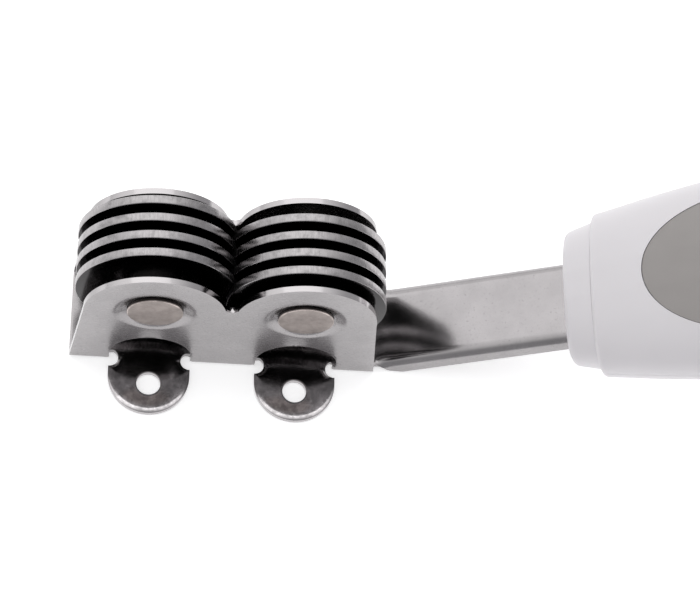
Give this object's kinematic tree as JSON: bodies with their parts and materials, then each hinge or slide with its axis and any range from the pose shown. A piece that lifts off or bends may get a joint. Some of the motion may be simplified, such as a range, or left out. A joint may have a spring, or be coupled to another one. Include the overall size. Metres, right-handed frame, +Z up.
{
  "type": "knife sharpener",
  "caption": "Handheld disc knife sharpener: two stacks of interleaved steel discs on riveted axles in a folded steel bracket with screw feet, on a rising neck with a white plastic handle.",
  "frame": {"origin": "on the underside of the bracket's web, midway between the two axles and midway across the bracket", "axes": "+X from the sharpening head towards the handle, +Y along the disc axles, +Z up from the feet"},
  "size_m": [0.1855, 0.0366, 0.0532],
  "materials": {
    "satin_stainless": "satin",
    "rivet_steel": "satin",
    "ring_steel": "satin",
    "disc_steel": "satin",
    "screw_steel": "satin",
    "white_plastic": "matte",
    "grey_rubber": "matte"
  },
  "bodies": {
    "frame": {"bracket": "satin_stainless", "axle_left": "rivet_steel", "axle_right": "rivet_steel", "spacer_left_1": "ring_steel", "spacer_left_2": "ring_steel", "spacer_left_3": "ring_steel", "end_ring_left_far": "ring_steel", "end_ring_left_near": "ring_steel", "spacer_right_1": "ring_steel", "spacer_right_2": "ring_steel", "spacer_right_3": "ring_steel", "end_ring_right_far": "ring_steel", "end_ring_right_near": "ring_steel", "handle_collar": "white_plastic", "handle_top_shell": "white_plastic", "handle_bottom_shell": "white_plastic", "grip_inlay": "grey_rubber", "handle_screws": "screw_steel"},
    "disc_left_1": {"disc_left_1": "disc_steel"},
    "disc_left_2": {"disc_left_2": "disc_steel"},
    "disc_left_3": {"disc_left_3": "disc_steel"},
    "disc_left_4": {"disc_left_4": "disc_steel"},
    "disc_right_1": {"disc_right_1": "disc_steel"},
    "disc_right_2": {"disc_right_2": "disc_steel"},
    "disc_right_3": {"disc_right_3": "disc_steel"},
    "disc_right_4": {"disc_right_4": "disc_steel"}
  },
  "joints": [
    {"name": "disc_left_1_spin", "type": "hinge", "parent": "frame", "child": "disc_left_1", "pos_m": [-0.0122, 0.00562, 0.01875], "axis": [0, 1, 0], "continuous": true},
    {"name": "disc_left_2_spin", "type": "hinge", "parent": "frame", "child": "disc_left_2", "pos_m": [-0.0122, 0.00252, 0.01875], "axis": [0, 1, 0], "continuous": true},
    {"name": "disc_left_3_spin", "type": "hinge", "parent": "frame", "child": "disc_left_3", "pos_m": [-0.0122, -0.00057, 0.01875], "axis": [0, 1, 0], "continuous": true},
    {"name": "disc_left_4_spin", "type": "hinge", "parent": "frame", "child": "disc_left_4", "pos_m": [-0.0122, -0.00367, 0.01875], "axis": [0, 1, 0], "continuous": true},
    {"name": "disc_right_1_spin", "type": "hinge", "parent": "frame", "child": "disc_right_1", "pos_m": [0.0122, 0.00407, 0.01875], "axis": [0, 1, 0], "continuous": true},
    {"name": "disc_right_2_spin", "type": "hinge", "parent": "frame", "child": "disc_right_2", "pos_m": [0.0122, 0.00097, 0.01875], "axis": [0, 1, 0], "continuous": true},
    {"name": "disc_right_3_spin", "type": "hinge", "parent": "frame", "child": "disc_right_3", "pos_m": [0.0122, -0.00213, 0.01875], "axis": [0, 1, 0], "continuous": true},
    {"name": "disc_right_4_spin", "type": "hinge", "parent": "frame", "child": "disc_right_4", "pos_m": [0.0122, -0.00522, 0.01875], "axis": [0, 1, 0], "continuous": true}
  ]
}
